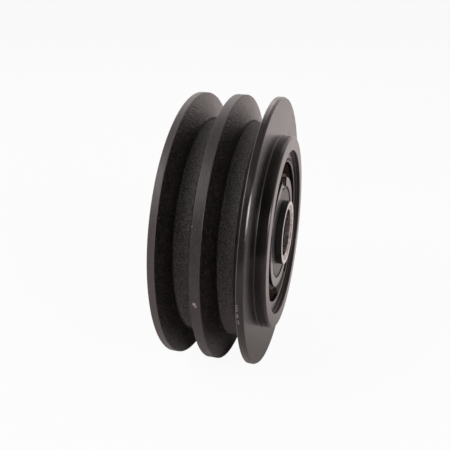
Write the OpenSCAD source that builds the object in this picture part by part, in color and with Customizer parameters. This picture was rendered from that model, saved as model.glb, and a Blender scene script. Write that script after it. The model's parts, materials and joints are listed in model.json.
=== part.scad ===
// Idler pulley with two V grooves: a painted casting on two sealed ball bearings.
// The axle lies along Y, the boss side faces -Y, and the origin is on the axle at the middle of the bore.

/* [Rims and grooves] */
// Outside diameter over the rims
rim_d = 142; // [130:1:160]
// Width of each outer rim land
edge_land_w = 3.5; // [2.5:0.1:6]
// Width of the middle rim land
mid_land_w = 4.9; // [3.5:0.1:8]
// Width of a groove at the rim
groove_top_w = 16.6; // [15.5:0.1:18]
// Depth of a groove below the rim
groove_depth = 13.7; // [12:0.1:15]
// Full angle between the two flanks of a groove
groove_angle = 36; // [32:1:40]
// Fillet between a groove's flank and its floor
groove_fillet = 2; // [1:0.1:2.5]
// Chamfer on the rim edges
rim_chamfer = 0.5; // [0.2:0.1:1]

/* [Boss and recess] */
// Diameter of the boss ring on the front face
boss_d = 102.5; // [98:0.5:108]
// Height of the boss ring above the front rim face
boss_h = 5.9; // [4.5:0.1:8]
// Chamfer on the outer edge of the boss ring
boss_chamfer = 1; // [0.3:0.1:1.5]
// Fillet at the root of the boss ring
boss_fillet = 0.4; // [0.3:0.1:2]
// Diameter of the recess in the boss
recess_d = 87.8; // [86:0.2:91]
// Depth of the recess in the boss
recess_depth = 2.3; // [1.5:0.1:3.5]
// Fillet at the foot of the recess wall
recess_fillet = 1.2; // [0.5:0.1:1.4]

/* [Web and windows] */
// Thickness of the web behind the recess
web_t = 12; // [9:0.5:16]
// Radial width of the kidney windows
window_w = 6.4; // [5:0.1:7.5]
// Width of the ledge between the hub's front and the windows
ledge_w = 1.7; // [1.2:0.1:2.4]
// Step of the spokes' front below the web's outer part
spoke_step = 1.8; // [1.2:0.1:2.4]
// Radial reach of the slope from the spokes to the web past the windows
spoke_ramp = 0.6; // [0.3:0.1:1.2]
// Width of a spoke where it is narrowest
spoke_w = 15; // [10:0.5:20]
// Width of a spoke at its foot on the hub
spoke_foot_w = 30; // [24:0.5:32]
// Width of a spoke where it meets the web's outer part
spoke_rim_w = 23; // [20:0.5:26]
// Turn of the spokes from upright, clockwise seen from the front
spoke_turn = -12.5; // [-14:0.5:-10]
// Diameter of the hollow behind the web
hollow_d = 91; // [86:0.5:95]
// Fillet in the outer corner of the hollow
hollow_fillet = 5; // [2:0.5:6]
// Chamfer between the web's back and the hub
web_foot = 4; // [2:0.5:6]

/* [Hub] */
// Wall of the hub around the bearings
hub_wall = 3.6; // [3:0.1:5]
// Step of the hub's front face behind the boss face
hub_step = 2.1; // [1.5:0.1:2.3]
// Length of the hub's tail behind the circlip
hub_tail = 3; // [2:0.1:4]
// Thickness of the lip in front of the bearings
lip_t = 1.5; // [1:0.1:2]
// Height of the lip over the bearing's outer edge
lip_h = 1.2; // [1:0.1:2.5]
// Width of the removal notch in the hub
notch_w = 10.5; // [8:0.5:11]
// Depth of the removal notch along the axle
notch_depth = 9; // [5:0.5:12]
// Reach of the removal notch past the hub's outside
notch_reach = 0.4; // [0.3:0.1:0.8]
// Turn of the removal notch from upright, clockwise seen from the front
notch_turn = 4; // [3:0.5:5]

/* [Dust shield] */
// Running gap between the dust shield and the hub's lip
shield_gap = 1.2; // [0.6:0.1:1.6]
// Step of the dust shield's face behind the hub's front face
shield_step = 0.3; // [0.1:0.05:0.4]
// Gap between the dust shield and the bearing's outer ring
shield_clear = 0.4; // [0.3:0.05:0.5]

/* [Bearings] */
// Bore diameter of the bearings and bushes
bore_d = 25; // [23:0.5:27]
// Outside diameter of the bearings
bearing_d = 52; // [48:0.5:56]
// Width of a bearing
bearing_w = 15; // [14.5:0.1:15.5]
// Number of balls in a bearing
ball_count = 9; // [7:1:9]
// Share of a bearing's radial height taken by a ball
ball_share = 0.588; // [0.56:0.002:0.62]
// Share of a bearing's radial height taken by the inner ring's shoulder
inner_share = 0.345; // [0.33:0.001:0.36]
// Share of a bearing's radial height taken by the outer ring's shoulder
outer_share = 0.335; // [0.32:0.001:0.35]
// Radial step of a seal seat outside the shoulder
seal_seat_step = 1.3; // [1:0.1:1.8]
// Depth of a seal seat
seal_seat_depth = 1.8; // [1.6:0.1:2]
// Thickness of a seal
seal_t = 1.2; // [1:0.1:1.4]
// Height of the raised bead on a seal
seal_bead = 0.3; // [0.2:0.05:0.35]
// Corner chamfer of the rings
ring_chamfer = 0.8; // [0.5:0.1:1]
// Sheet thickness of the cage halves
cage_t = 0.7; // [0.5:0.05:0.8]
// Gap between the cage and the shoulders of the rings
cage_gap = 0.45; // [0.3:0.05:0.6]
// Shank diameter of the cage rivets
rivet_d = 1.1; // [0.9:0.05:1.3]
// Head diameter of the cage rivets
rivet_head_d = 1.9; // [1.6:0.05:2]
// Head height of the cage rivets
rivet_head_h = 0.35; // [0.2:0.05:0.45]

/* [Bushes and stack] */
// Wall of the bushes and the inner spacer
bush_wall = 4.6; // [3.5:0.1:4.6]
// Chamfer on the outer edges of the bushes
bush_chamfer = 0.5; // [0.2:0.1:0.8]
// Reach of the front bush past the boss face
bush_front_reach = 1; // [0.5:0.1:3]
// Reach of the rear bush past the rear rim face
bush_rear_reach = 1.1; // [0.5:0.1:3]
// Length of the spacers between the bearings
spacer_l = 10.8; // [9:0.1:11.4]
// Wall of the outer spacer
outer_spacer_wall = 2.5; // [1.5:0.1:3]
// Thickness of the circlip
circlip_t = 2; // [1.5:0.1:2.2]
// Depth of the circlip groove in the hub bore
circlip_groove = 1.5; // [1:0.1:1.6]
// Radial width of the circlip
circlip_w = 4.2; // [3.4:0.1:4.6]
// Gap angle of the circlip between its lugs
circlip_gap = 40; // [34:1:50]
// Diameter of the circlip lugs
lug_d = 6.4; // [5.6:0.1:6.8]
// Diameter of the plier holes in the lugs
lug_hole_d = 2.5; // [2:0.1:3]

/* [Fits] */
// Gap around pieces that seat on each other
seat_gap = 0.02; // [0.01:0.01:0.04]
// Gap between a ball and its raceway or pocket
ball_gap = 0.06; // [0.04:0.01:0.09]
// Gap between a seal's lip and the inner ring
lip_gap = 0.08; // [0.04:0.01:0.1]

/* [Hidden] */
$fn = 96;
eps = 0.01;
cut_over = 1;
rim_r = rim_d / 2;
floor_r = rim_r - groove_depth;
half_angle = groove_angle / 2;
pitch_groove = groove_top_w + mid_land_w;
rims_w = 2 * edge_land_w + 2 * groove_top_w + mid_land_w;
front_a = rims_w / 2;
boss_a = front_a + boss_h;
web_a = boss_a - recess_depth;
web_back_a = web_a - web_t;
bearing_r = bearing_d / 2;
seat_r = bearing_r + seat_gap;
hub_r = bearing_r + hub_wall;
lip_r = bearing_r - lip_h;
core_r = hub_r - cut_over;
foot_r = hub_r - 3 * cut_over;
ledge_r = hub_r + ledge_w;
window_r = ledge_r + window_w;
window_mid_r = ledge_r + window_w / 2;
hub_a = boss_a - hub_step;
stack_a = hub_a - lip_t - seat_gap;
front_mid_a = stack_a - bearing_w / 2;
rear_mid_a = front_mid_a - bearing_w - spacer_l - 2 * seat_gap;
stack_rear_a = rear_mid_a - bearing_w / 2;
circlip_a = stack_rear_a - seat_gap - circlip_t;
shield_r = lip_r - shield_gap;
shield_a = hub_a - shield_step;
hub_rear_a = circlip_a - hub_tail;
bush_front_a = boss_a + bush_front_reach;
bush_rear_a = min(-front_a, hub_rear_a) - bush_rear_reach;
bore_mid_a = (bush_front_a + bush_rear_a) / 2;
bore_r = bore_d / 2;
bush_r = bore_r + bush_wall;
section_h = bearing_r - bore_r;
ball_r = ball_share * section_h / 2;
race_r = ball_r + ball_gap;
inner_shoulder_r = bore_r + inner_share * section_h;
outer_shoulder_r = bearing_r - outer_share * section_h;
pitch_r = (inner_shoulder_r + outer_shoulder_r) / 2;
cage_in_r = inner_shoulder_r + cage_gap;
cage_out_r = outer_shoulder_r - cage_gap;
seal_seat_r = outer_shoulder_r + seal_seat_step;
seal_in_r = inner_shoulder_r + lip_gap;
seal_out_r = seal_seat_r - seat_gap;
ball_step = 360 / ball_count;

BEARINGS = ["front", "rear"];
BALLS = [for (b = BEARINGS) for (i = [1 : ball_count]) str(b, "_ball_", i)];
RINGS = [for (b = BEARINGS) for (p = ["outer_ring", "inner_ring", "cage_front", "cage_rear", "cage_rivets",
  "seal_front", "seal_rear"]) str(b, "_", p)];
STACK = ["pulley_body", "front_bush", "front_shield", "rear_bush", "inner_spacer", "outer_spacer",
  "rear_circlip"];

// Lays a shape drawn upright on Z along the axle, its top to the front and the bore's middle at the origin.
module on_axle() {
  rotate([90, 0, 0]) translate([0, 0, -bore_mid_a]) children();
}

// Turns a section drawn as radius against axial place about the axle.
module turned() {
  on_axle() rotate_extrude() children();
}

// Block in a section between two radii and two axial places.
module band(r0, r1, a0, a1) {
  translate([r0, a0]) square([r1 - r0, a1 - a0]);
}

// Section of the chamfer cut from an outer corner at a radius and an axial place.
module edge_chamfer(r, a, c) {
  out_r = r + cut_over;
  polygon([[r - c, a], [r - c, a + cut_over], [out_r, a + cut_over], [out_r, a - c], [r, a - c]]);
}

// Section of one V groove with rounded floor corners.
module groove_section(mid) {
  floor_w = groove_top_w / 2 - groove_depth * tan(half_angle);
  c = floor_w - groove_fillet * tan(45 - half_angle / 2);
  flank_r = floor_r + groove_fillet * (1 - sin(half_angle));
  flank_w = c + groove_fillet * cos(half_angle);
  out_w = groove_top_w / 2 + cut_over * tan(half_angle);
  out_r = rim_r + cut_over;
  translate([0, mid]) {
    polygon([[floor_r, -c], [floor_r, c], [flank_r, flank_w], [out_r, out_w], [out_r, -out_w],
      [flank_r, -flank_w]]);
    for (side = [-1, 1])
      translate([floor_r + groove_fillet, side * c]) circle(r = groove_fillet);
  }
}

// Section of the chamfer on one land edge; side is the way out of the land, lean the slope of the face below.
module land_chamfer(edge, side, lean) {
  reach = 1.5 * rim_chamfer;
  low = rim_r - reach;
  foot = edge + side * (reach * (1 + lean) - rim_chamfer);
  top = edge - side * rim_chamfer;
  out_r = rim_r + cut_over;
  away = foot + side * cut_over;
  polygon([[low, foot], [low, away], [out_r, away], [out_r, top], [rim_r, top]]);
}

// Section of the hollow behind the web, rounded outside and chamfered at the hub.
module hollow_section() {
  r1 = hollow_d / 2;
  f = hollow_fillet;
  difference() {
    band(core_r - cut_over, r1, -front_a - cut_over, web_back_a);
    difference() {
      band(r1 - f, r1 + eps, web_back_a - f, web_back_a + eps);
      translate([r1 - f, web_back_a - f]) circle(r = f);
    }
    polygon([[foot_r, web_back_a - web_foot], [hub_r, web_back_a - web_foot], [hub_r + web_foot, web_back_a],
      [foot_r, web_back_a + eps]]);
  }
}

// Section of the recess in the boss with a rounded foot.
module recess_section() {
  r1 = recess_d / 2;
  f = recess_fillet;
  difference() {
    band(core_r - cut_over, r1, web_a, boss_a + cut_over);
    difference() {
      band(r1 - f, r1 + eps, web_a - eps, web_a + f);
      translate([r1 - f, web_a + f]) circle(r = f);
    }
  }
}

// Section of the ring that lowers the ledge and the spokes beside the hub and slopes up to the web.
module spoke_step_section() {
  ramp_r = window_r + spoke_ramp;
  in_r = core_r - cut_over;
  polygon([[in_r, web_a - spoke_step], [window_mid_r, web_a - spoke_step], [ramp_r, web_a],
    [ramp_r, web_a + cut_over], [in_r, web_a + cut_over]]);
}

// Fillet section at the root of the boss.
module boss_root_section() {
  r1 = boss_d / 2;
  f = boss_fillet;
  difference() {
    band(r1 - eps, r1 + f, front_a - eps, front_a + f);
    translate([r1 + f, front_a + f]) circle(r = f);
  }
}

// Outline of the two kidney windows, left open between two spokes that flare at both ends.
module window_outline() {
  rim_r1 = window_r + cut_over;
  difference() {
    circle(r = window_r);
    circle(r = ledge_r);
    for (turn = [0, 180]) rotate(turn)
      polygon([[-spoke_foot_w / 2, foot_r], [spoke_foot_w / 2, foot_r], [spoke_w / 2, window_mid_r],
        [spoke_rim_w / 2, window_r], [spoke_rim_w / 2, rim_r1], [-spoke_rim_w / 2, rim_r1],
        [-spoke_rim_w / 2, window_r], [-spoke_w / 2, window_mid_r]]);
  }
}

// Outline of the removal notch, cut from the hub bore outwards.
module notch_outline() {
  intersection() {
    translate([-notch_w / 2, 0]) square([notch_w, rim_r]);
    difference() {
      circle(r = hub_r + notch_reach);
      circle(r = lip_r - cut_over);
    }
  }
}

// Section of the rims, boss and web outside the hub.
module rim_section() {
  lean = tan(half_angle);
  difference() {
    union() {
      band(core_r, rim_r, -front_a, front_a);
      band(core_r, boss_d / 2, front_a - cut_over, boss_a);
      boss_root_section();
    }
    for (side = [-1, 1]) {
      groove_section(side * pitch_groove / 2);
      land_chamfer(side * front_a, side, 0);
      land_chamfer(side * (front_a - edge_land_w), -side, lean);
      land_chamfer(side * mid_land_w / 2, side, lean);
    }
    edge_chamfer(boss_d / 2, boss_a, boss_chamfer);
    recess_section();
    spoke_step_section();
    hollow_section();
  }
}

// Section of the hub tube with its front lip, bearing seat and circlip groove.
module hub_section() {
  difference() {
    band(lip_r, hub_r, hub_rear_a, hub_a);
    band(lip_r - cut_over, seat_r, hub_rear_a - cut_over, hub_a - lip_t);
    band(bearing_r - cut_over, bearing_r + circlip_groove, circlip_a - seat_gap, stack_rear_a);
  }
}

// The casting: rims, grooves, boss, web, spokes and hub in one piece.
module pulley_body() {
  color([0.07, 0.07, 0.07]) difference() {
    union() {
      difference() {
        turned() rim_section();
        on_axle() rotate(-spoke_turn) translate([0, 0, web_back_a - web_foot - cut_over])
          linear_extrude(web_t + web_foot + 2 * cut_over) window_outline();
      }
      turned() hub_section();
    }
    on_axle() rotate(-notch_turn) translate([0, 0, hub_a - notch_depth])
      linear_extrude(notch_depth + cut_over) notch_outline();
  }
}

// Turned bush with chamfered outer edges.
module bush(a0, a1) {
  turned() difference() {
    band(bore_r, bush_r, a0, a1);
    edge_chamfer(bush_r, a1, bush_chamfer);
    mirror([0, 1]) edge_chamfer(bush_r, -a0, bush_chamfer);
  }
}

module front_bush() {
  color([0.62, 0.61, 0.6]) bush(shield_a + seat_gap, bush_front_a);
}

// Pressed dust shield clamped on the inner ring by the front bush, clear of the outer ring.
module front_shield() {
  clear_a = stack_a + shield_clear;
  color([0.07, 0.07, 0.07]) turned() difference() {
    band(bore_r, shield_r, stack_a + seat_gap, shield_a);
    band(bush_r, shield_r + cut_over, stack_a - cut_over, clear_a);
  }
}

module rear_bush() {
  color([0.62, 0.61, 0.6]) bush(bush_rear_a, stack_rear_a - seat_gap);
}

module inner_spacer() {
  color([0.5, 0.5, 0.5]) bush(rear_mid_a + bearing_w / 2 + seat_gap, front_mid_a - bearing_w / 2 - seat_gap);
}

module outer_spacer() {
  color([0.5, 0.5, 0.5]) turned() band(bearing_r - outer_spacer_wall, bearing_r,
    rear_mid_a + bearing_w / 2 + seat_gap, front_mid_a - bearing_w / 2 - seat_gap);
}

// Sprung ring in the hub bore behind the rear bearing, open at the top.
module rear_circlip() {
  r1 = bearing_r + circlip_groove - seat_gap;
  half = circlip_gap / 2;
  lug_r = r1 - lug_d / 2 - circlip_groove;
  color([0.2, 0.2, 0.21]) on_axle() translate([0, 0, circlip_a]) linear_extrude(circlip_t) difference() {
    union() {
      difference() {
        circle(r = r1);
        circle(r = r1 - circlip_w);
        polygon([[0, 0], 2 * r1 * [sin(half), cos(half)], 2 * r1 * [-sin(half), cos(half)]]);
      }
      for (side = [-1, 1])
        translate(lug_r * [side * sin(half), cos(half)]) circle(d = lug_d);
    }
    for (side = [-1, 1])
      translate(lug_r * [side * sin(half), cos(half)]) circle(d = lug_hole_d);
  }
}

// Outer ring of a bearing, with its raceway and two seal seats.
module outer_ring(mid) {
  h = bearing_w / 2;
  color([0.58, 0.58, 0.58]) turned() translate([0, mid]) difference() {
    band(outer_shoulder_r, bearing_r, -h, h);
    translate([pitch_r, 0]) circle(r = race_r);
    for (side = [0, 1]) mirror([0, side]) {
      band(outer_shoulder_r - cut_over, seal_seat_r, h - seal_seat_depth, h + cut_over);
      edge_chamfer(bearing_r, h, ring_chamfer);
    }
  }
}

// Inner ring of a bearing, with its raceway.
module inner_ring(mid) {
  h = bearing_w / 2;
  c = ring_chamfer;
  in_r = bore_r - cut_over;
  color([0.58, 0.58, 0.58]) turned() translate([0, mid]) difference() {
    band(bore_r, inner_shoulder_r, -h, h);
    translate([pitch_r, 0]) circle(r = race_r);
    for (side = [0, 1]) mirror([0, side])
      polygon([[bore_r + c, h], [bore_r + c, h + cut_over], [in_r, h + cut_over], [in_r, h - c],
        [bore_r, h - c]]);
  }
}

// Sealing washer with a raised bead, seated in the outer ring.
module seal(mid, side) {
  top = bearing_w / 2 - seal_seat_depth + seal_t;
  bead_w = (seal_out_r - seal_in_r) / 3;
  color([0.1, 0.1, 0.1]) turned() translate([0, mid]) mirror([0, side]) {
    band(seal_in_r, seal_out_r, top - seal_t + seat_gap, top);
    band(seal_in_r + bead_w, seal_out_r - bead_w, top - eps, top + seal_bead);
  }
}

// Children placed once for each ball of a bearing.
module at_balls(mid, offset) {
  for (i = [1 : ball_count])
    on_axle() rotate(i * ball_step + offset) translate([pitch_r, 0, mid]) children();
}

// Pressed cage half: a riveted ribbon with a cup over each ball.
module cage_half(mid, side) {
  cup_r = race_r + cage_t;
  color([0.55, 0.53, 0.5]) difference() {
    intersection() {
      union() {
        turned() translate([0, mid]) mirror([0, side]) band(cage_in_r, cage_out_r, seat_gap, cage_t);
        at_balls(mid, 0) sphere(r = cup_r);
      }
      turned() translate([0, mid]) mirror([0, side]) band(cage_in_r, cage_out_r, seat_gap, cup_r + cut_over);
    }
    at_balls(mid, 0) sphere(r = race_r);
    at_balls(mid, ball_step / 2) cylinder(d = rivet_d + 2 * seat_gap, h = 4 * cage_t, center = true);
  }
}

// Rivets that join the two halves of a cage between the balls.
module cage_rivets(mid) {
  color([0.6, 0.6, 0.6]) at_balls(mid, ball_step / 2) {
    cylinder(d = rivet_d, h = 2 * cage_t + 2 * rivet_head_h, center = true);
    for (side = [0, 1]) mirror([0, 0, side])
      translate([0, 0, cage_t + seat_gap]) cylinder(d = rivet_head_d, h = rivet_head_h);
  }
}

// One ball of a bearing.
module ball(mid, i) {
  color([0.7, 0.7, 0.7]) on_axle() rotate(i * ball_step) translate([pitch_r, 0, mid]) sphere(r = ball_r);
}

pulley_body();
front_bush();
front_shield();
rear_bush();
inner_spacer();
outer_spacer();
rear_circlip();
for (b = [0, 1]) {
  mid = b == 0 ? front_mid_a : rear_mid_a;
  outer_ring(mid);
  inner_ring(mid);
  cage_half(mid, 0);
  cage_half(mid, 1);
  cage_rivets(mid);
  seal(mid, 0);
  seal(mid, 1);
  for (i = [1 : ball_count])
    ball(mid, i);
}
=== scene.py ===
"""Idler pulley with two V grooves: finishes, turned pieces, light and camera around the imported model."""

import json
import math

import bpy
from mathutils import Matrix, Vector

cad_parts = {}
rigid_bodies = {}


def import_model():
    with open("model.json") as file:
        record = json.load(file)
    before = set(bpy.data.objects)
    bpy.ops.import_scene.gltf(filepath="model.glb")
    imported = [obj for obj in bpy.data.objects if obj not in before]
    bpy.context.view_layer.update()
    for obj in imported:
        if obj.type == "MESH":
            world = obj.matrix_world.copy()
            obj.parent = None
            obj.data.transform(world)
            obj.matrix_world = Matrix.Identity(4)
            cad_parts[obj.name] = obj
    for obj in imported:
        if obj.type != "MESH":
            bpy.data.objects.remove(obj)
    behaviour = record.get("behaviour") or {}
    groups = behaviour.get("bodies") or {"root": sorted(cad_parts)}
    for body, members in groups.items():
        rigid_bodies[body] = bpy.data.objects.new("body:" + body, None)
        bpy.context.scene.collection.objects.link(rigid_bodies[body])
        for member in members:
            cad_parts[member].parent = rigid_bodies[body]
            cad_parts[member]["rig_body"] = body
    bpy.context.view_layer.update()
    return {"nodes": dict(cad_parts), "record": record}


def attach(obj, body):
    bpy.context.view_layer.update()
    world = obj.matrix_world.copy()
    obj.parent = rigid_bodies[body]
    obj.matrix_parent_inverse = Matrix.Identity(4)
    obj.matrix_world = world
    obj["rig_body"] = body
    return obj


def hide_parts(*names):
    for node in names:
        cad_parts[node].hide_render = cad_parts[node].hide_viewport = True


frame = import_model()

# Sizes in millimetres. Axial places run from the middle of the rims, positive towards the boss.
MM = 0.001
BORE_MID = 2.9

# Rims and grooves.
RIM_R, FRONT, MID_LAND, EDGE_LAND = 71.0, 22.55, 2.45, 19.05
ROLL, ROLL_IN = 1.0, 0.6
FLOOR_R, GROOVE_MID, GROOVE_FLOOR = 57.3, 10.75, 3.849
FLOOR_FILLET, FLOOR_CORNER = 2.0, 0.35

# Boss, web, windows and spokes.
BOSS_R, BOSS, RECESS_R, WEB, WEB_BACK = 51.25, 28.45, 43.9, 26.15, 14.15
HOLLOW_R, WEB_FOOT = 45.5, 4.0
LEDGE_R, WINDOW_R, WINDOW_MID_R, SPOKE_TURN = 31.3, 37.7, 34.5, -12.5
SPOKE_FOOT, SPOKE_MID, SPOKE_RIM, SPOKE_FOOT_R = 15.0, 7.5, 11.5, 26.6
SPOKE, SPOKE_RAMP_R = 24.35, 38.3
CUT_PAST = 1.0

# Hub, with its notch, lip, bearing seat and circlip groove.
HUB_R, HUB, HUB_REAR, LIP_R, LIP, SEAT_R = 29.6, 26.35, -21.03, 24.8, 24.85, 26.02
NOTCH_HALF, NOTCH_DEPTH, NOTCH_R, NOTCH_TURN, NOTCH_IN = 5.25, 9.0, 30.0, 4.0, 2.0
CLIP_R, CLIP_FRONT, CLIP_REAR = 27.5, -16.01, -18.05

# Bushes, shield and the stack of bearings and spacers.
SHIELD_R, SHIELD, SHIELD_CLEAR = 23.6, 26.05, 25.23
BORE_R, BUSH_R, BUSH_FRONT, BUSH_REAR, MOUTH_R, MOUTH = 12.5, 17.1, 29.45, -23.65, 15.1, 0.9
STACK_FRONT, STACK_REAR, FRONT_MID, REAR_MID = 24.83, -16.01, 17.33, -8.51
RING_HALF, RING_R, RING_CHAMFER, SEAT_GAP = 7.5, 26.0, 0.8, 0.02
INNER_R, OUTER_R, PITCH_R, RACE_R, RACE_STEPS = 17.1575, 21.4775, 19.3175, 4.029, 8
SEAL_SEAT_R, SEAL_SEAT, SEAL_T, SEAL_BEAD = 22.7775, 1.8, 1.2, 0.3
SEAL_IN_R, SEAL_OUT_R = 17.2375, 22.7575
SPACER_WALL = 2.5

# How finely the pieces are turned: steps round the axle, degrees of a rounded corner's step and of a window's,
# the loop beside a corner, and the angle past which an edge is sharp.
TURN_STEPS, CORNER_STEP, ARC_STEP, SUPPORT, SHARP_ANGLE = 288, 15.0, 2.5, 0.12, 40.0

# The surround: its level for plain light, and how dim it is on the camera's side and above.
WORLD_LEVEL = 0.3
ROOM_SIDE, ROOM_SHARE, ABOVE_SHARE = (-0.93, -0.05, 0.36), 0.3, 0.45

# The floor in metres: its half width, and where it starts to be bright in reflections.
FLOOR_HALF, OPEN_FROM, OPEN_FULL = 3.0, -0.02, 0.1
FLOOR_SEEN, FLOOR_MIRRORED = 0.94, 0.9

# Soft lamps aimed at the axle: place in metres, width, height and power in watts.
SOFTBOXES = {
    "right_softbox": ((0.7, 0.35, 0.6), 0.6, 0.6, 1.2),
    "left_softbox": ((-0.5, 0.62, 0.75), 0.6, 0.6, 5.5),
    "front_softbox": ((-0.5, -0.695, 0.4), 0.36, 0.3, 5.0),
}
CAMERA_PLACE, CAMERA_WAY = (-0.2976, -0.0749, 0.1388), (0.8787, 0.2459, -0.4091)
SENSOR, LENS = 36.0, 49.25


def colour(red, green, blue):
    return (red, green, blue, 1.0)


# Light: white to the camera and warm in reflections.
WHITE, WARM = colour(1.0, 1.0, 1.0), colour(1.0, 0.89, 0.875)
FLOOR_DARK, FLOOR_PALE = colour(0.87, 0.79, 0.775), colour(0.9, 0.82, 0.805)

# Black paint over the casting, from the glossy coat to the bare iron of its chips.
PAINT_IOR, PAINT_TINT = 1.56, colour(1.0, 0.93, 0.92)
COAT_DEEP, COAT_THIN = colour(0.0024, 0.0022, 0.0021), colour(0.0048, 0.0043, 0.0041)
# The hazed rims' colour, and a near black that paints shade on the boss's outer wall.
RIM_HAZE, BOSS_WALL_SHADE = colour(0.056, 0.05, 0.0495), colour(0.0015, 0.0014, 0.0013)
BROWN_DEEP, BROWN_THIN = colour(0.035, 0.022, 0.018), colour(0.07, 0.044, 0.036)
# The first colour is painted shade: a dull brownish coat for the recess wall, the spokes and the patch round the
# upper window's end.
SHADE_COAT, FLANK_SPECK = colour(0.012, 0.008, 0.007), colour(0.075, 0.056, 0.045)
# Grain of the groove floors, with lighter specks that are partly painted glints; edge wear with a painted
# highlight along the lands.
FLOOR_GRAIN_GLINT, EDGE_WEAR_AND_HIGHLIGHT = colour(0.115, 0.11, 0.108), colour(0.13, 0.125, 0.12)
# Bare iron of the chips; the same colour paints the glint at the upper window's end.
BARE_IRON_AND_GLINT = colour(0.34, 0.31, 0.28)

# The other finishes.
SHIELD_DEEP, SHIELD_THIN = colour(0.005, 0.0045, 0.0043), colour(0.012, 0.0106, 0.01)
BUSH_LIGHT, BUSH_DARK = colour(0.68, 0.655, 0.65), colour(0.58, 0.56, 0.555)
MOUTH_DARKENING, BORE_STAIN = colour(0.17, 0.155, 0.15), colour(0.17, 0.135, 0.11)
BUSH_PAINT = colour(0.006, 0.0052, 0.005)
RUBBER_DEEP, RUBBER_BLOOM = colour(0.022, 0.021, 0.02), colour(0.04, 0.037, 0.035)

# Plain steels: the lighter and darker colour and the roughness.
STEELS = {
    "spacer_steel": (colour(0.52, 0.51, 0.5), colour(0.4, 0.39, 0.38), 0.34),
    "spring_steel": (colour(0.12, 0.12, 0.125), colour(0.075, 0.075, 0.08), 0.42),
    "bearing_steel": (colour(0.6, 0.6, 0.6), colour(0.48, 0.48, 0.47), 0.22),
    "cage_steel": (colour(0.56, 0.54, 0.51), colour(0.44, 0.42, 0.4), 0.3),
    "ball_steel": (colour(0.72, 0.72, 0.72), colour(0.65, 0.65, 0.65), 0.06),
}


def on_casting(turn, axial, radius=RIM_R):
    """A place on the casting in millimetres, by its turn from upright seen from the front and its axial place."""
    t = math.radians(turn)
    return (radius * math.sin(t), BORE_MID - axial, radius * math.cos(t))


# Chips in the rims' paint: turn in degrees, axial place, reach in millimetres and share of bare iron.
RIM_CHIPS = [
    (-96.5, -0.3, 0.8, 1.0), (-97.5, 0.3, 0.75, 0.6), (-66.7, -2.5, 0.5, 1.0),
    (-94.3, 19.5, 0.6, 0.4), (-95.4, 19.6, 0.6, 0.4), (-96.5, 19.7, 0.6, 0.45), (-98.4, 19.8, 0.6, 0.4),
    (-99.4, 19.9, 0.6, 0.5), (-101.6, 20.1, 0.6, 0.4), (-102.6, 20.2, 0.6, 0.45),
]
# A painted glint along the edge of the upper window's end, in the bare iron's colour: turn in degrees and share of
# that colour.
WINDOW_GLINT = [(10.0, 0.8), (14.0, 1.0), (18.0, 1.0), (22.0, 1.0), (27.0, 0.9), (32.0, 0.7)]
GLINT_PLACE, GLINT_R, GLINT_REACH = WEB - 0.3, WINDOW_R + 0.05, 0.8
# The dull patch round that end, which paints shade there.
SHADE_PATCH_MIDDLE, SHADE_PATCH_REACH = on_casting(20.0, WEB - 0.15, WINDOW_R + 0.9), 12.5


class Value:
    """A socket with Python's operators, each of which adds a Math node to its tree; | takes the larger value."""

    def __init__(self, graph, socket):
        self.graph, self.socket = graph, socket

    def math(self, operation, *rest):
        return self.graph.math(operation, self, *rest)

    def __add__(self, other):
        return self.math("ADD", other)

    __radd__ = __add__

    def __sub__(self, other):
        return self.math("SUBTRACT", other)

    def __rsub__(self, other):
        return self.graph.math("SUBTRACT", other, self)

    def __mul__(self, other):
        return self.math("MULTIPLY", other)

    __rmul__ = __mul__

    def __truediv__(self, other):
        return self.math("DIVIDE", other)

    def __pow__(self, other):
        return self.math("POWER", other)

    def __abs__(self):
        return self.math("ABSOLUTE")

    def __gt__(self, other):
        return self.math("GREATER_THAN", other)

    def __or__(self, other):
        return self.math("MAXIMUM", other)


class Graph:
    """A node tree filled by node(), which takes a type, its settings and then its sockets."""

    def __init__(self, tree):
        self.tree = tree

    def node(self, kind, settings=None, sockets=None):
        made = self.tree.nodes.new(kind)
        for key, value in (settings or {}).items():
            setattr(made, key, value)
        for key, value in (sockets or {}).items():
            for item in value if isinstance(value, list) else [value]:
                if isinstance(item, Value):
                    self.tree.links.new(item.socket, made.inputs[key])
                else:
                    made.inputs[key].default_value = item
        return lambda key: Value(self, made.outputs[key])

    def math(self, operation, *values):
        return self.node("ShaderNodeMath", {"operation": operation}, dict(enumerate(values)))(0)

    def ease(self, value, low, high, start=0.0, end=1.0):
        """Start below low, end above high and smooth between them."""
        sockets = {"Value": value, "From Min": low, "From Max": high, "To Min": start, "To Max": end}
        return self.node("ShaderNodeMapRange", {"interpolation_type": "SMOOTHSTEP"}, sockets)("Result")

    def mix(self, share, first, second):
        """Colour that goes from the first to the second with the share."""
        return self.node("ShaderNodeMix", {"data_type": "RGBA"}, {0: share, 6: first, 7: second})(2)


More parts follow.
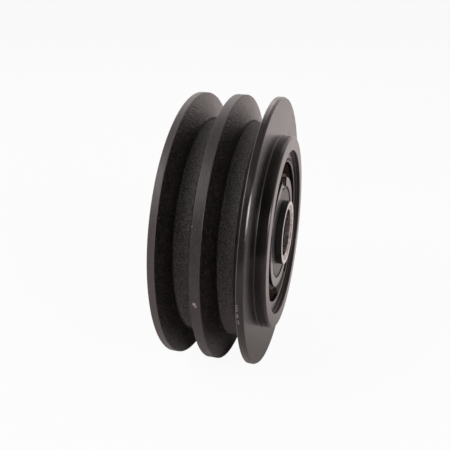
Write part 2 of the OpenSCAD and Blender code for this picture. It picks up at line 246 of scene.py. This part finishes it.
class Finish(Graph):
    """A material, with the patterns that its surfaces share."""

    def __init__(self, name):
        self.material = bpy.data.materials.new(name)
        self.material.use_nodes = True
        super().__init__(self.material.node_tree)
        self.tree.nodes.clear()
        self.place = self.node("ShaderNodeTexCoord")("Object")
        split = self.node("ShaderNodeSeparateXYZ", None, {0: self.place})
        self.x, self.y, self.z = split("X"), split("Y"), split("Z")
        self.radius = (self.x * self.x + self.z * self.z) ** 0.5 / MM
        self.axial = BORE_MID - self.y / MM

    def noise(self, size, detail=3.0, roughness=0.55, at=None):
        """Noise from 0 to 1 with grains of about that size in millimetres."""
        sockets = {"Vector": at or self.place, "Scale": 1.0 / (size * MM)}
        sockets.update({"Detail": detail, "Roughness": roughness})
        return self.node("ShaderNodeTexNoise", None, sockets)("Fac")

    def rings(self, size, seed):
        """Noise that follows the turning marks: fine across the tool's path and long round the axle."""
        place = {"X": self.radius * MM, "Y": self.y, "Z": seed}
        return self.noise(size, 2.0, 0.6, self.node("ShaderNodeCombineXYZ", None, place)("Vector"))

    def zone(self, value, low, high, soft=0.3):
        """1 where the value lies from low to high."""
        return self.ease(value, low - soft, low + soft) * (1 - self.ease(value, high - soft, high + soft))

    def near(self, point, reach, ragged):
        """1 within reach of a point in millimetres, with a ragged edge."""
        ends = {0: self.place, 1: tuple(p * MM for p in point)}
        away = self.node("ShaderNodeVectorMath", {"operation": "DISTANCE"}, ends)("Value")
        return 1 - self.ease(away / MM + ragged, reach * 0.75, reach)

    def bump(self, height, depth, normal=None):
        """Normal of a surface that rises by depth millimetres as height goes from 0 to 1."""
        sockets = {"Height": height, "Distance": depth * MM, "Strength": 1.0}
        if normal:
            sockets["Normal"] = normal
        return self.node("ShaderNodeBump", None, sockets)("Normal")

    def close(self, **sockets):
        """Ends the material in a Principled surface; underscores stand for spaces."""
        named = {key.replace("_", " "): value for key, value in sockets.items()}
        shader = self.node("ShaderNodeBsdfPrincipled", None, named)("BSDF")
        self.node("ShaderNodeOutputMaterial", None, {"Surface": shader})
        return self.material


def chips_and_window_glint(f, ragged):
    """The share of bare iron in the chips, and of the painted glint along the upper window's edge."""
    spots = [f.near(on_casting(turn, axial), reach, ragged) * share for turn, axial, reach, share in RIM_CHIPS]
    for turn, share in WINDOW_GLINT:
        spots.append(f.near(on_casting(turn, GLINT_PLACE, GLINT_R), GLINT_REACH, ragged) * share)
    chips_and_glint = spots[0]
    for spot in spots[1:]:
        chips_and_glint = chips_and_glint | spot
    return chips_and_glint


def casting_paint():
    """Black paint: glossy on the front flange, hazed on the other rims, granular over the cast surfaces."""
    f = Finish("casting_paint")
    r, a = f.radius, f.axial

    # Where each part of the casting lies.
    land = f.ease(r, RIM_R - 0.5, RIM_R - 0.2)
    front = f.ease(a, EDGE_LAND - 1.55, EDGE_LAND - 0.55)
    rear = 1 - f.ease(a, -GROOVE_MID - 1.25, -GROOVE_MID + 0.75)
    hazed_land = land * (1 - front)
    in_grooves = 1 - f.ease(abs(a), EDGE_LAND + 0.25, EDGE_LAND + 0.75)
    floor = f.zone(r, FLOOR_R - 3.3, FLOOR_R + 0.9) * in_grooves
    flank = f.zone(r, FLOOR_R + 1.3, RIM_R - 0.5) * in_grooves
    face = f.zone(r, BOSS_R + 0.25, RIM_R - 0.6, 0.4) * f.ease(abs(a), FRONT - 0.35, FRONT - 0.05)
    cast = f.zone(r, HUB_R + 0.6, BOSS_R - 0.75, 0.5) * (1 - f.ease(a, BOSS - 0.55, BOSS - 0.15))
    hollow = f.zone(r, HUB_R + 0.3, HOLLOW_R - 0.3, 0.4) * (1 - f.ease(a, SPOKE - 0.95, SPOKE - 0.25))
    seat = f.zone(r, LIP_R - 2.8, HUB_R - 0.4, 0.2) * (1 - f.ease(a, HUB - 0.95, HUB - 0.55))
    wall = f.zone(r, BOSS_R - 0.45, BOSS_R + 0.35, 0.2) * f.zone(a, FRONT + 0.35, BOSS - 0.85, 0.2)
    root = f.zone(r, BOSS_R + 0.05, BOSS_R + 0.65, 0.15) * f.zone(a, FRONT + 0.05, FRONT + 0.45, 0.1)
    recess = f.zone(r, RECESS_R - 0.5, RECESS_R + 0.4, 0.2) * f.zone(a, WEB + 0.15, BOSS - 0.25, 0.1)
    spokes = f.zone(r, HUB_R + 0.3, WINDOW_R - 0.1, 0.2) * f.zone(a, SPOKE - 0.35, WEB - 0.35, 0.15)
    window_end = f.zone(r, WINDOW_R + 0.45, WINDOW_R + 2.1, 0.2) * f.zone(a, WEB - 0.85, WEB + 0.35, 0.1)

    # Grains by size, from coarse casting skin to the paint's own texture.
    coarse = f.noise(1.3, 2.0, 0.65)
    grain = f.noise(0.9, 3.0, 0.62)
    grit = f.noise(0.7, 2.0, 0.6)
    sand = f.noise(0.45, 3.0, 0.6)
    fine = f.noise(0.16, 2.0, 0.5)
    peel = f.noise(2.6, 2.0, 0.5)
    cloud = f.noise(14.0)
    marks = f.rings(0.12, 0.37)
    ragged = (f.noise(0.35, 3.0, 0.7) - 0.5) * 1.1
    chips_and_glint = chips_and_window_glint(f, ragged)
    # Painted shade: the recess wall, the spokes and the patch round the upper window's end take a dull coat that
    # darkens them.
    dull_shade = f.near(SHADE_PATCH_MIDDLE, SHADE_PATCH_REACH, ragged) * window_end | spokes
    matt = recess | dull_shade

    # Colour, from the coat up to the chips and the painted glint.
    coat = f.mix(cloud, COAT_DEEP, COAT_THIN)
    haze = hazed_land * (rear * 0.7 + 0.16 + cloud * 0.24 + (grit - 0.47) * 1.4)
    coat = f.mix(haze, coat, RIM_HAZE)
    coat = f.mix(hollow | seat, coat, f.mix(grain, BROWN_DEEP, BROWN_THIN))
    # Painted shade: the matt zones take the dull shade coat.
    coat = f.mix(matt, coat, SHADE_COAT)
    coat = f.mix(f.ease(grit, 0.55, 0.72) * (0.1 + flank * 0.7), coat, FLANK_SPECK)
    # The groove floors' grain, lighter in specks that are partly painted glints.
    coat = f.mix(f.ease(grit * 0.5 + sand * 0.5, 0.41, 0.58) * floor, coat, FLOOR_GRAIN_GLINT)
    # Painted shade: the boss's outer wall is darker than the rest of the coat.
    coat = f.mix(wall, coat, BOSS_WALL_SHADE)
    # A painted highlight along the front land's rear edge, and wear with a painted highlight along the middle
    # land's rear edge.
    front_edge_highlight = f.zone(a, EDGE_LAND - 0.05, EDGE_LAND + 0.25, 0.08) * (0.5 + grain)
    middle_edge_wear_and_highlight = f.zone(a, -MID_LAND - 0.05, -MID_LAND + 0.25, 0.08) * f.ease(sand, 0.58, 0.68)
    coat = f.mix((front_edge_highlight + middle_edge_wear_and_highlight) * f.ease(r, RIM_R - 0.7, RIM_R - 0.4), coat, EDGE_WEAR_AND_HIGHLIGHT)
    base = f.mix(chips_and_glint, coat, BARE_IRON_AND_GLINT)

    # Gloss: higher on the front flange and cast walls, lower where the coat is granular and where the dull coat
    # paints shade.
    rough = 0.34 + (cloud - 0.5) * 0.1 + (fine - 0.5) * 0.08
    rough = rough - front * 0.13 - flank * 0.06 - cast * 0.06 - wall * 0.08
    rough = rough + hazed_land * 0.08 + matt * 0.35 + dull_shade * 0.3 + root * 0.3 + floor * 0.3 + chips_and_glint * 0.1

    # Height of the grain, over edges softened by the paint.
    height = (grain - 0.5) * (0.03 + floor * 2.4 + cast * 0.2)
    height = height + (grit - 0.5) * (0.03 + floor * 1.4 + flank * 0.8)
    height = height + (coarse - 0.5) * (flank * 2.6 + hazed_land * 0.5)
    height = height + (fine - 0.5) * (0.08 + face * 0.16) + (peel - 0.5) * 0.16
    height = height + (marks - 0.5) * (land + face) * 0.05 - chips_and_glint * 0.5
    edge = f.node("ShaderNodeBevel", {"samples": 6}, {"Radius": 0.6 * MM})("Normal")
    return f.close(Base_Color=base, Roughness=rough, Normal=f.bump(height, 0.16, edge),
                   IOR=PAINT_IOR, Specular_Tint=PAINT_TINT)


def shield_paint():
    """Black satin paint over pressed sheet, with faint drawing marks."""
    f = Finish("shield_paint")
    marks = f.rings(0.25, 0.53)
    cloud = f.noise(5.0)
    fine = f.noise(0.3)
    base = f.mix(cloud, SHIELD_DEEP, SHIELD_THIN)
    height = (fine - 0.5) * 0.6 + (marks - 0.5) * 0.3
    return f.close(Base_Color=base, Roughness=0.4 + (cloud - 0.5) * 0.1, Normal=f.bump(height, 0.03),
                   IOR=PAINT_IOR, Specular_Tint=PAINT_TINT)


def bush_steel():
    """Turned steel, bare on the ends, stained in the bore and darker in patches in its mouth, black paint on the
    outside wall.
    """
    f = Finish("bush_steel")
    marks = f.rings(0.09, 0.11)
    cloud = f.noise(3.0)
    stain = f.noise(1.6, 4.0, 0.65)
    ragged = (f.noise(0.4, 3.0, 0.7) - 0.5) * 0.25
    paint = f.ease(f.radius + ragged, BUSH_R - 0.35, BUSH_R - 0.15)
    bore = 1 - f.ease(f.radius, BORE_R + 0.05, BORE_R + 0.25)
    mouth = f.zone(f.radius, BORE_R + 0.1, MOUTH_R - 0.15, 0.1) * f.ease(f.axial, 0.0, 1.0)
    steel = f.mix(cloud, BUSH_LIGHT, BUSH_DARK)
    # The dished mouth is darker in patches.
    steel = f.mix(mouth * f.ease(stain, 0.3, 0.6), steel, MOUTH_DARKENING)
    steel = f.mix(bore * (0.35 + 0.65 * f.ease(stain, 0.35, 0.7)), steel, BORE_STAIN)
    base = f.mix(paint, steel, BUSH_PAINT)
    rough = 0.24 + marks * 0.14 + (cloud - 0.5) * 0.1 + paint * 0.08
    return f.close(Base_Color=base, Metallic=1 - paint, Roughness=rough, Normal=f.bump(marks, 0.012))


def plain_steel(name, light, dark, roughness):
    """Ground or pressed steel with fine marks round the axle and a faint oil film."""
    f = Finish(name)
    marks = f.rings(0.12, 0.23)
    cloud = f.noise(4.0)
    base = f.mix(cloud, light, dark)
    rough = roughness + marks * 0.12 + (cloud - 0.5) * 0.12
    return f.close(Base_Color=base, Metallic=1.0, Roughness=rough, Normal=f.bump(marks, 0.008))


def seal_rubber():
    """Moulded black rubber with a dusty bloom."""
    f = Finish("seal_rubber")
    cloud = f.noise(3.5)
    fine = f.noise(0.2, 2.0)
    base = f.mix(cloud, RUBBER_DEEP, RUBBER_BLOOM)
    rough = 0.42 + (fine - 0.5) * 0.2 + (cloud - 0.5) * 0.1
    return f.close(Base_Color=base, Roughness=rough, Normal=f.bump(fine, 0.02))


def linked(name, data):
    """A new object in the scene."""
    made = bpy.data.objects.new(name, data)
    bpy.context.scene.collection.objects.link(made)
    return made


def rounded(corners):
    """Points of a closed section whose corners (radius, axial place, rounding) become arcs, a loop beside each."""
    points = []
    for i, (r, a, size) in enumerate(corners):
        here = Vector((r, a))
        back = (Vector(corners[i - 1][:2]) - here).normalized()
        ahead = (Vector(corners[(i + 1) % len(corners)][:2]) - here).normalized()
        half = back.angle(ahead) / 2
        reach = size / math.tan(half)
        loop = reach + min(SUPPORT, reach / 2)
        centre = here + (back + ahead).normalized() * (size / math.sin(half))
        start, end = here + back * reach - centre, here + ahead * reach - centre
        steps = max(2, round(math.degrees(math.pi - 2 * half) / CORNER_STEP))
        points.append(here + back * loop)
        for k in range(steps + 1):
            points.append(centre + start.slerp(end, k / steps) * size)
        points.append(here + ahead * loop)
    return [(p.x, p.y) for p in points]


def turned_tree(cut):
    """Geometry nodes that turn a section about the axle, and where cut is set take windows and a notch from it."""
    tree = bpy.data.node_groups.new("turned_and_cut" if cut else "turned", "GeometryNodeTree")
    inputs = {"Section": "Geometry", "Path Radius": "Float", "Steps": "Int", "Sharp Angle": "Float",
              "Surface": "Material"}
    if cut:
        inputs.update({"Windows": "Object", "Notch": "Object"})
    for name, kind in inputs.items():
        tree.interface.new_socket(name=name, in_out="INPUT", socket_type="NodeSocket" + kind)
    tree.interface.new_socket(name="Piece", in_out="OUTPUT", socket_type="NodeSocketGeometry")
    g = Graph(tree)
    given = g.node("NodeGroupInput")
    circle = g.node("GeometryNodeCurvePrimitiveCircle", {"mode": "RADIUS"},
                    {"Resolution": given("Steps"), "Radius": given("Path Radius")})("Curve")
    section = g.node("GeometryNodeMeshToCurve", None, {"Mesh": given("Section")})("Curve")
    swept = g.node("GeometryNodeCurveToMesh", None, {"Curve": circle, "Profile Curve": section})("Mesh")
    piece = g.node("GeometryNodeTransform", None,
                   {"Geometry": swept, "Rotation": (math.radians(90), 0, 0)})("Geometry")
    if cut:
        tools = [g.node("GeometryNodeObjectInfo", None, {"Object": given(name)})("Geometry")
                 for name in ("Windows", "Notch")]
        piece = g.node("GeometryNodeMeshBoolean", {"operation": "DIFFERENCE", "solver": "MANIFOLD"},
                       {"Mesh 1": piece, "Mesh 2": tools})("Mesh")
    sharp = g.node("GeometryNodeInputMeshEdgeAngle")("Unsigned Angle") > given("Sharp Angle")
    smooth = g.node("GeometryNodeSetShadeSmooth", {"domain": "FACE"},
                    {"Geometry": piece, "Shade Smooth": True})("Geometry")
    smooth = g.node("GeometryNodeSetShadeSmooth", {"domain": "EDGE"},
                    {"Geometry": smooth, "Selection": sharp, "Shade Smooth": False})("Geometry")
    whole = g.node("GeometryNodeRealizeInstances", None, {"Geometry": smooth})("Geometry")
    done = g.node("GeometryNodeSetMaterial", None,
                  {"Geometry": whole, "Material": given("Surface")})("Geometry")
    g.node("NodeGroupOutput", None, {"Piece": done})
    return tree


def turned(name, corners, material, tree, **extra):
    """A piece turned from a section, its faces outward, standing for the CAD node of its own name."""
    points = rounded(corners)
    if sum(p[0] * q[1] - q[0] * p[1] for p, q in zip(points, points[1:] + points[:1])) > 0:
        points.reverse()
    path = sum(p[0] for p in points) / len(points)
    outline = bpy.data.meshes.new(name + "_section")
    places = [((r - path) * MM, (BORE_MID - a) * MM, 0.0) for r, a in points]
    outline.from_pydata(places, [(i, (i + 1) % len(points)) for i in range(len(points))], [])
    piece = linked(name + "_visual", outline)
    work = piece.modifiers.new("turned", "NODES")
    work.node_group = tree
    wanted = {"Path Radius": path * MM, "Steps": TURN_STEPS, "Sharp Angle": math.radians(SHARP_ANGLE),
              "Surface": material, **extra}
    for item in tree.interface.items_tree:
        if item.name in wanted:
            work[item.identifier] = wanted[item.name]
    scene_state = bpy.context.evaluated_depsgraph_get()
    mesh = bpy.data.meshes.new_from_object(piece.evaluated_get(scene_state))
    piece.modifiers.clear()
    piece.data = mesh
    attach(piece, frame["nodes"][name]["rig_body"])
    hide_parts(name)


def turned_point(across, up, turn):
    """A point of the front view, turned clockwise about the axle."""
    t = math.radians(turn)
    return across * math.cos(t) + up * math.sin(t), up * math.cos(t) - across * math.sin(t)


def arc(radius, start, end):
    """Points on a circle of the front view between two clockwise angles from upright."""
    count = max(1, math.ceil(abs(end - start) / ARC_STEP))
    return [turned_point(0, radius, start + (end - start) * k / count) for k in range(count + 1)]


def crossing(first, second, radius):
    """Where the line from first to second meets a circle about the axle."""
    p, d = Vector(first), Vector(second) - Vector(first)
    b, c = p.dot(d) / d.dot(d), (p.dot(p) - radius ** 2) / d.dot(d)
    root = math.sqrt(b * b - c)
    return p + d * min((t for t in (-b - root, -b + root) if t >= 0), default=0)


def clockwise(point):
    """Degrees from upright to a point of the front view."""
    return math.degrees(math.atan2(point[0], point[1]))


def prism(name, outlines, low, high):
    """Cutting blocks from outlines of the front view, between two axial places."""
    verts, faces = [], []
    for outline in outlines:
        n, base = len(outline), len(verts)
        for a in (low, high):
            verts += [(x * MM, (BORE_MID - a) * MM, z * MM) for x, z in outline]
        faces.append([base + i for i in range(n)])
        faces.append([base + n + i for i in reversed(range(n))])
        faces += [[base + (i + 1) % n, base + i, base + n + i, base + n + (i + 1) % n] for i in range(n)]
    mesh = bpy.data.meshes.new(name)
    mesh.from_pydata(verts, [], faces)
    return linked(name, mesh)


def window_blocks():
    """The two kidney windows between spokes that flare at both ends."""
    foot = tuple(crossing((SPOKE_FOOT, SPOKE_FOOT_R), (SPOKE_MID, WINDOW_MID_R), LEDGE_R))
    rim = tuple(crossing((SPOKE_MID, WINDOW_MID_R), (SPOKE_RIM, WINDOW_R), WINDOW_R))
    flank = [foot, (SPOKE_MID, WINDOW_MID_R), rim]
    outlines = []
    for turn in (SPOKE_TURN, SPOKE_TURN + 180):
        near = [turned_point(x, y, turn) for x, y in flank]
        far = [turned_point(-x, y, turn + 180) for x, y in reversed(flank)]
        outer = arc(WINDOW_R, turn + clockwise(rim), turn + 180 - clockwise(rim))
        inside = arc(LEDGE_R, turn + 180 - clockwise(foot), turn + clockwise(foot))
        outlines.append(near + outer[1:-1] + far + inside[1:-1])
    return prism("window_blocks", outlines, WEB_BACK - WEB_FOOT - CUT_PAST, WEB + CUT_PAST)


def notch_block():
    """The removal notch in the hub's front."""
    half = math.degrees(math.asin(NOTCH_HALF / NOTCH_R))
    top = arc(NOTCH_R, NOTCH_TURN - half, NOTCH_TURN + half)
    foot = [turned_point(x, LIP_R - NOTCH_IN, NOTCH_TURN) for x in (NOTCH_HALF, -NOTCH_HALF)]
    return prism("notch_block", [top + foot], HUB - NOTCH_DEPTH, HUB + CUT_PAST)


# Sections: corners of half a piece cut through the axle, each a radius, an axial place and its rounding.

def casting_section():
    """The casting, with its edges rounded by the paint."""
    ridge, small, land = 0.08, 0.15, 0.25
    return [
        (LIP_R, HUB, 0.3), (HUB_R, HUB, 0.2), (HUB_R, SPOKE, 0.4), (WINDOW_MID_R, SPOKE, 0.6),
        (SPOKE_RAMP_R, WEB, 0.6), (RECESS_R, WEB, 0.3), (RECESS_R, BOSS, 0.3),
        (BOSS_R, BOSS, 1.0), (BOSS_R, FRONT, 0.4), (RIM_R - ROLL_IN, FRONT, 0.35),
        (RIM_R, FRONT - ROLL, 0.6), (RIM_R, EDGE_LAND, land),
        (FLOOR_R, GROOVE_MID + GROOVE_FLOOR, FLOOR_FILLET), (FLOOR_R, GROOVE_MID - GROOVE_FLOOR, FLOOR_CORNER),
        (RIM_R, MID_LAND, land), (RIM_R, -MID_LAND, land),
        (FLOOR_R, GROOVE_FLOOR - GROOVE_MID, FLOOR_FILLET), (FLOOR_R, -GROOVE_MID - GROOVE_FLOOR, FLOOR_CORNER),
        (RIM_R, -EDGE_LAND, land), (RIM_R, -FRONT, land), (HOLLOW_R, -FRONT, 0.8), (HOLLOW_R, WEB_BACK, 5.0),
        (HUB_R + WEB_FOOT, WEB_BACK, 1.5), (HUB_R, WEB_BACK - WEB_FOOT, 1.5), (HUB_R, HUB_REAR, 0.5),
        (SEAT_R, HUB_REAR, 0.4), (SEAT_R, CLIP_REAR, ridge), (CLIP_R, CLIP_REAR, small),
        (CLIP_R, CLIP_FRONT, small), (SEAT_R, CLIP_FRONT, ridge), (SEAT_R, LIP, ridge), (LIP_R, LIP, small),
    ]


def sleeve_section(inner, outer, low, high, edge):
    """A plain bush or spacer."""
    return [(inner, high, 0.25), (outer, high, edge), (outer, low, edge), (inner, low, 0.25)]


def front_bush_section():
    """The front bush, with the dished mouth that its bore opens into."""
    foot = SHIELD + SEAT_GAP
    return [
        (BORE_R, BUSH_FRONT - MOUTH, 0.15), (MOUTH_R, BUSH_FRONT, 0.1), (BUSH_R, BUSH_FRONT, 0.4),
        (BUSH_R, foot, 0.5), (BORE_R, foot, 0.25),
    ]


def shield_section():
    """The dust shield: a collar on the inner ring and a flange clear of the outer ring."""
    foot = STACK_FRONT + SEAT_GAP
    return [
        (BORE_R, SHIELD, 0.1), (SHIELD_R, SHIELD, 0.25), (SHIELD_R, SHIELD_CLEAR, 0.1),
        (BUSH_R, SHIELD_CLEAR, 0.1), (BUSH_R, foot, 0.1), (BORE_R, foot, 0.1),
    ]


def race(middle, shoulder, outward):
    """Corners of a raceway, from the rear shoulder to the front one."""
    reach = math.sqrt(RACE_R ** 2 - (shoulder - PITCH_R) ** 2)
    points = []
    for k in range(RACE_STEPS + 1):
        t = -math.asin(reach / RACE_R) * (1 - 2 * k / RACE_STEPS)
        points.append((PITCH_R + outward * RACE_R * math.cos(t), middle + RACE_R * math.sin(t), 0.02))
    return points


def outer_ring_section(middle):
    """A bearing's outer ring, with its raceway and the seats of both seals."""
    low, high, seat = middle - RING_HALF, middle + RING_HALF, RING_HALF - SEAL_SEAT
    return [
        (RING_R, low, RING_CHAMFER), (SEAL_SEAT_R, low, 0.1), (SEAL_SEAT_R, middle - seat, 0.05),
        (OUTER_R, middle - seat, 0.1), *race(middle, OUTER_R, 1), (OUTER_R, middle + seat, 0.1),
        (SEAL_SEAT_R, middle + seat, 0.05), (SEAL_SEAT_R, high, 0.1), (RING_R, high, RING_CHAMFER),
    ]


def inner_ring_section(middle):
    """A bearing's inner ring, with its raceway."""
    low, high = middle - RING_HALF, middle + RING_HALF
    return [
        (BORE_R, low, RING_CHAMFER), (INNER_R, low, 0.1), *race(middle, INNER_R, -1), (INNER_R, high, 0.1),
        (BORE_R, high, RING_CHAMFER),
    ]


def seal_section(middle, side):
    """A seal with a raised bead, on the front side (1) or the rear side (-1) of its bearing."""
    top = RING_HALF - SEAL_SEAT + SEAL_T
    third = (SEAL_OUT_R - SEAL_IN_R) / 3
    rows = [
        (SEAL_IN_R, top - SEAL_T + SEAT_GAP, 0.1), (SEAL_IN_R, top, 0.3), (SEAL_IN_R + third, top, 0.08),
        (SEAL_IN_R + third, top + SEAL_BEAD, 0.08), (SEAL_OUT_R - third, top + SEAL_BEAD, 0.08),
        (SEAL_OUT_R - third, top, 0.08), (SEAL_OUT_R, top, 0.2), (SEAL_OUT_R, top - SEAL_T + SEAT_GAP, 0.1),
    ]
    return [(r, middle + side * a, size) for r, a, size in rows]


def surround():
    """A world that is white to the camera, and in other light dimmer on the camera's side and above."""
    world = bpy.data.worlds.new("studio")
    bpy.context.scene.world = world
    world.use_nodes = True
    world.node_tree.nodes.clear()
    g = Graph(world.node_tree)
    way = g.node("ShaderNodeTexCoord")("Generated")
    toward = g.node("ShaderNodeVectorMath", {"operation": "DOT_PRODUCT"}, {0: way, 1: ROOM_SIDE})("Value")
    height = g.node("ShaderNodeSeparateXYZ", None, {0: way})("Z")
    dimmed = g.ease(toward, 0.35, 0.9, 1.0, ROOM_SHARE) * g.ease(height, 0.45, 0.85, 1.0, ABOVE_SHARE)
    path = g.node("ShaderNodeLightPath")
    seen = path("Is Camera Ray")
    shown = (seen + path("Is Glossy Ray") + path("Is Transmission Ray")).math("MINIMUM", 1.0)
    strength = (WORLD_LEVEL + shown * (1 - WORLD_LEVEL)) * dimmed | seen
    tint = g.mix(seen, WARM, WHITE)
    shine = g.node("ShaderNodeBackground", None, {"Color": tint, "Strength": strength})("Background")
    g.node("ShaderNodeOutputWorld", None, {"Surface": shine})


def pale_floor():
    """A wide floor under the rim, nearly white to the camera, that keeps a faint shadow."""
    mesh = bpy.data.meshes.new("floor")
    half, z = FLOOR_HALF, -RIM_R * MM
    corners = [(-half, -half, z), (half, -half, z), (half, half, z), (-half, half, z)]
    mesh.from_pydata(corners, [], [(0, 1, 2, 3)])
    floor = linked("floor", mesh)
    f = Finish("pale_floor")
    tone = f.mix(f.noise(60.0), FLOOR_DARK, FLOOR_PALE)
    matt = f.node("ShaderNodeBsdfDiffuse", None, {"Color": tone})("BSDF")
    path = f.node("ShaderNodeLightPath")
    seen, mirrored = path("Is Camera Ray"), path("Is Glossy Ray") + path("Is Transmission Ray")
    tint = f.mix(seen, WARM, WHITE)
    white = f.node("ShaderNodeEmission", None, {"Color": tint, "Strength": 1.0})("Emission")
    share = seen * FLOOR_SEEN + mirrored * f.ease(f.x, OPEN_FROM, OPEN_FULL) * FLOOR_MIRRORED
    both = f.node("ShaderNodeMixShader", None, {0: share, 1: matt, 2: white})("Shader")
    f.node("ShaderNodeOutputMaterial", None, {"Surface": both})
    mesh.materials.append(f.material)


def aimed(name, data, place, way):
    """A lamp or camera at a place, pointing along a way with its top upward."""
    made = linked(name, data)
    made.location = place
    made.rotation_mode = "QUATERNION"
    made.rotation_quaternion = Vector(way).to_track_quat("-Z", "Y")
    return made


def studio():
    """White surround, pale floor, soft lamps and the camera."""
    surround()
    pale_floor()
    for name, (place, width, height, power) in SOFTBOXES.items():
        lamp = bpy.data.lights.new(name, "AREA")
        lamp.shape, lamp.size, lamp.size_y, lamp.energy = "RECTANGLE", width, height, power
        aimed(name, lamp, place, -Vector(place))
    lens = bpy.data.cameras.new("camera")
    lens.sensor_width, lens.lens = SENSOR, LENS
    bpy.context.scene.camera = aimed("camera", lens, CAMERA_PLACE, CAMERA_WAY)
    bpy.context.scene.view_settings.view_transform = "Standard"


SLOTS = {part["node"]: part["material_slot"] for part in frame["record"]["subparts"]}
FINISHES = {
    "cast_body": casting_paint(),
    "shield_paint": shield_paint(),
    "bush_steel": bush_steel(),
    "seal_rubber": seal_rubber(),
}
for name, steel in STEELS.items():
    FINISHES[name] = plain_steel(name, *steel)
for name, cad in frame["nodes"].items():
    cad.data.materials.clear()
    cad.data.materials.append(FINISHES[SLOTS[name]])

plain, cut = turned_tree(False), turned_tree(True)
windows, notch = window_blocks(), notch_block()
turned("pulley_body", casting_section(), FINISHES["cast_body"], cut, Windows=windows, Notch=notch)
for block in (windows, notch):
    bpy.data.objects.remove(block)

BETWEEN = (REAR_MID + RING_HALF + SEAT_GAP, FRONT_MID - RING_HALF - SEAT_GAP)
SECTIONS = {
    "front_bush": front_bush_section(),
    "front_shield": shield_section(),
    "rear_bush": sleeve_section(BORE_R, BUSH_R, BUSH_REAR, STACK_REAR - SEAT_GAP, 0.5),
    "inner_spacer": sleeve_section(BORE_R, BUSH_R, *BETWEEN, 0.5),
    "outer_spacer": sleeve_section(RING_R - SPACER_WALL, RING_R, *BETWEEN, 0.25),
}
for bearing, middle in (("front", FRONT_MID), ("rear", REAR_MID)):
    SECTIONS[bearing + "_outer_ring"] = outer_ring_section(middle)
    SECTIONS[bearing + "_inner_ring"] = inner_ring_section(middle)
    SECTIONS[bearing + "_seal_front"] = seal_section(middle, 1)
    SECTIONS[bearing + "_seal_rear"] = seal_section(middle, -1)
for name, corners in SECTIONS.items():
    turned(name, corners, FINISHES[SLOTS[name]], plain)

studio()
